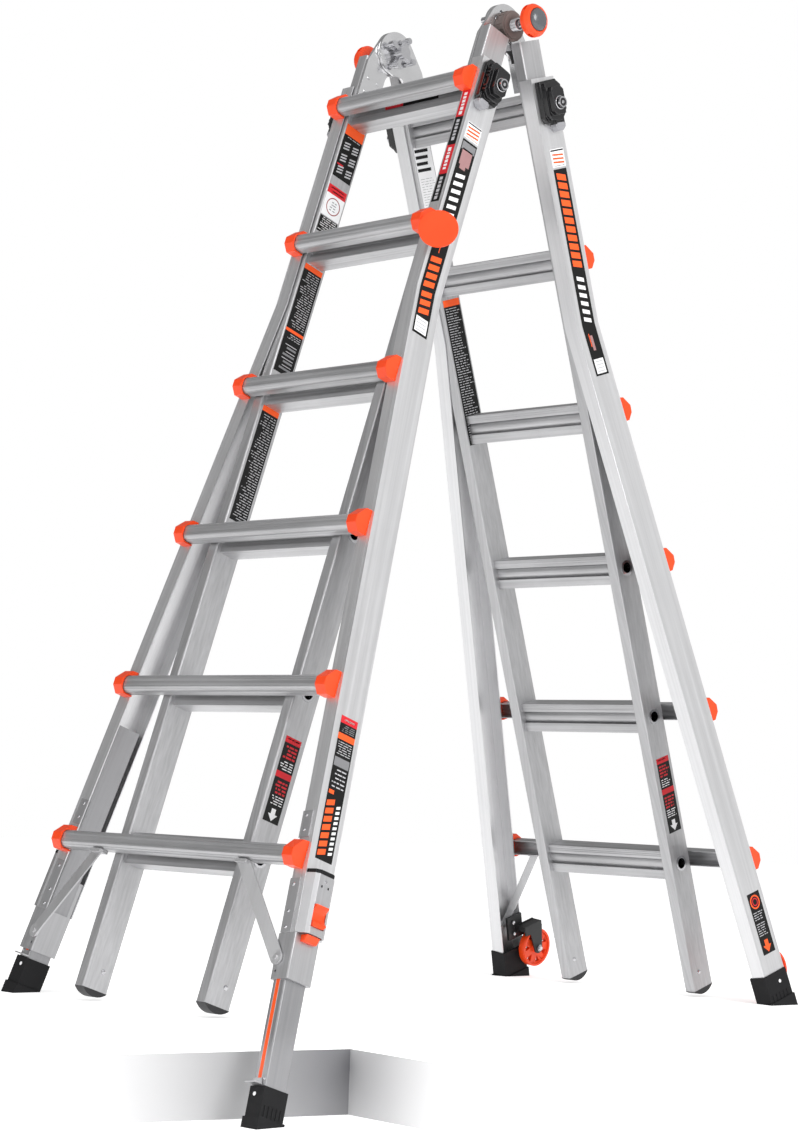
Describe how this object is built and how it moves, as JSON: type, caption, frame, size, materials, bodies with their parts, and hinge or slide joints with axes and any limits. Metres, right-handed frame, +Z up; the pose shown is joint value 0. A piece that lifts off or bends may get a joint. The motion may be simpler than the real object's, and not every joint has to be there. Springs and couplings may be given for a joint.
{
  "type": "multi position ladder",
  "caption": "Folding telescopic aluminium ladder with splayed outer rails, palm-knob hinges, rung locks, leveler legs and tip wheels, standing as a twin stepladder.",
  "frame": {"origin": "on the ground under the lowered foot's level, at the middle of the ladder's bounding box", "axes": "+X to the user's right along the rungs, +Y away from the climbing side with the levelers towards the rear section, +Z up"},
  "size_m": [0.7926, 1.4456, 2.056],
  "materials": {
    "alloy_rail": "satin extruded",
    "alloy_rung": "satin ribbed",
    "alloy_cast": "satin",
    "hinge_steel": "plated",
    "hub_metal": "matt grey brown",
    "steel": "zinc plated",
    "orange_plastic": "bright orange",
    "black_plastic": "black",
    "bracket_black": "black",
    "black_rubber": "matt"
  },
  "bodies": {
    "front_inner": {"front_inner_rail_left": "alloy_rail", "front_inner_rail_right": "alloy_rail", "front_inner_rungs": "alloy_rung", "front_rung_bushings": "steel", "front_rail_plugs": "black_plastic", "front_hinge_plate_left": "hinge_steel", "front_hinge_plate_right": "hinge_steel", "hinge_hub_left": "hub_metal", "hinge_hub_right": "hub_metal", "hinge_spring_left": "steel", "hinge_spring_right": "steel"},
    "rear_inner": {"rear_inner_rail_left": "alloy_rail", "rear_inner_rail_right": "alloy_rail", "rear_inner_rungs": "alloy_rung", "rear_rung_bushings": "steel", "rear_rail_plugs": "black_plastic", "rear_hinge_plate_left": "hinge_steel", "rear_hinge_plate_right": "hinge_steel"},
    "front_outer": {"front_outer_rail_left": "alloy_rail", "front_outer_rail_right": "alloy_rail", "front_outer_rungs": "alloy_rung", "front_rung_caps": "orange_plastic", "front_lock_housing_left": "black_plastic", "front_lock_housing_right": "black_plastic", "front_lock_springs": "steel", "leveler_housing_left": "alloy_cast", "leveler_housing_right": "alloy_cast", "leveler_collar_left": "alloy_cast", "leveler_collar_right": "alloy_cast", "front_braces": "alloy_cast", "rung_tag": "orange_plastic"},
    "rear_outer": {"rear_outer_rail_left": "alloy_rail", "rear_outer_rail_right": "alloy_rail", "rear_outer_rungs": "alloy_rung", "rear_rung_caps": "orange_plastic", "rear_lock_housing_left": "black_plastic", "rear_lock_housing_right": "black_plastic", "rear_lock_springs": "steel", "rear_braces": "alloy_cast", "rear_boots": "black_rubber", "wheel_brackets": "bracket_black", "wheel_axles": "steel"},
    "left_leg": {"leveler_leg_left": "alloy_rail", "leveler_boot_left": "black_rubber", "leveler_pedal_left": "alloy_cast"},
    "left_ratchet_button": {"ratchet_button_left": "orange_plastic"},
    "left_tip_wheel": {"wheel_left": "orange_plastic"},
    "left_hinge_knob": {"hinge_knob_left": "orange_plastic", "hinge_plunger_left": "steel"},
    "front_left_lock": {"front_lock_plunger_left": "steel"},
    "rear_left_lock": {"rear_lock_plunger_left": "steel"},
    "right_leg": {"leveler_leg_right": "alloy_rail", "leveler_boot_right": "black_rubber", "leveler_pedal_right": "alloy_cast"},
    "right_ratchet_button": {"ratchet_button_right": "orange_plastic"},
    "right_tip_wheel": {"wheel_right": "orange_plastic"},
    "right_hinge_knob": {"hinge_knob_right": "orange_plastic", "hinge_plunger_right": "steel"},
    "front_right_lock": {"front_lock_plunger_right": "steel"},
    "rear_right_lock": {"rear_lock_plunger_right": "steel"}
  },
  "joints": [
    {"name": "main_hinge", "type": "hinge", "parent": "front_inner", "child": "rear_inner", "pos_m": [-0.00902, 0.00865, 2.011], "axis": [1, 0, 0], "range_deg": [-36.36, 143.64]},
    {"name": "front_slide", "type": "slide", "parent": "front_inner", "child": "front_outer", "axis": [0, -0.312, -0.9501], "range_m": [0, 1.524]},
    {"name": "rear_slide", "type": "slide", "parent": "rear_inner", "child": "rear_outer", "axis": [0, 0.312, -0.9501], "range_m": [0, 1.524]},
    {"name": "left_leg_slide", "type": "slide", "parent": "front_outer", "child": "left_leg", "axis": [-0.1325, -0.3093, -0.9417], "range_m": [0, 0.208]},
    {"name": "right_leg_slide", "type": "slide", "parent": "front_outer", "child": "right_leg", "axis": [0.1325, -0.3093, -0.9417], "range_m": [-0.163, 0.045]},
    {"name": "left_ratchet_press", "type": "slide", "parent": "front_outer", "child": "left_ratchet_button", "axis": [-0.9912, 0.0413, 0.1259], "range_m": [-0.005, 0], "stiffness_N_per_m": 400},
    {"name": "left_wheel_spin", "type": "hinge", "parent": "rear_outer", "child": "left_tip_wheel", "pos_m": [-0.33266, 0.68149, 0.21855], "axis": [-0.9912, -0.0413, 0.1259], "continuous": true},
    {"name": "left_knob_lock", "type": "slide", "parent": "rear_inner", "child": "left_hinge_knob", "axis": [-1, 0, 0], "range_m": [0, 0.0065]},
    {"name": "front_left_lock_throw", "type": "slide", "parent": "front_outer", "child": "front_left_lock", "axis": [1, 0, 0], "range_m": [0, 0.009]},
    {"name": "rear_left_lock_throw", "type": "slide", "parent": "rear_outer", "child": "rear_left_lock", "axis": [1, 0, 0], "range_m": [0, 0.009]},
    {"name": "right_ratchet_press", "type": "slide", "parent": "front_outer", "child": "right_ratchet_button", "axis": [0.9912, 0.0413, 0.1259], "range_m": [-0.005, 0], "stiffness_N_per_m": 400},
    {"name": "right_wheel_spin", "type": "hinge", "parent": "rear_outer", "child": "right_tip_wheel", "pos_m": [0.31462, 0.68149, 0.21855], "axis": [0.9912, -0.0413, 0.1259], "continuous": true},
    {"name": "right_knob_lock", "type": "slide", "parent": "rear_inner", "child": "right_hinge_knob", "axis": [1, 0, 0], "range_m": [0, 0.0065]},
    {"name": "front_right_lock_throw", "type": "slide", "parent": "front_outer", "child": "front_right_lock", "axis": [-1, 0, 0], "range_m": [0, 0.009]},
    {"name": "rear_right_lock_throw", "type": "slide", "parent": "rear_outer", "child": "rear_right_lock", "axis": [-1, 0, 0], "range_m": [0, 0.009]}
  ]
}
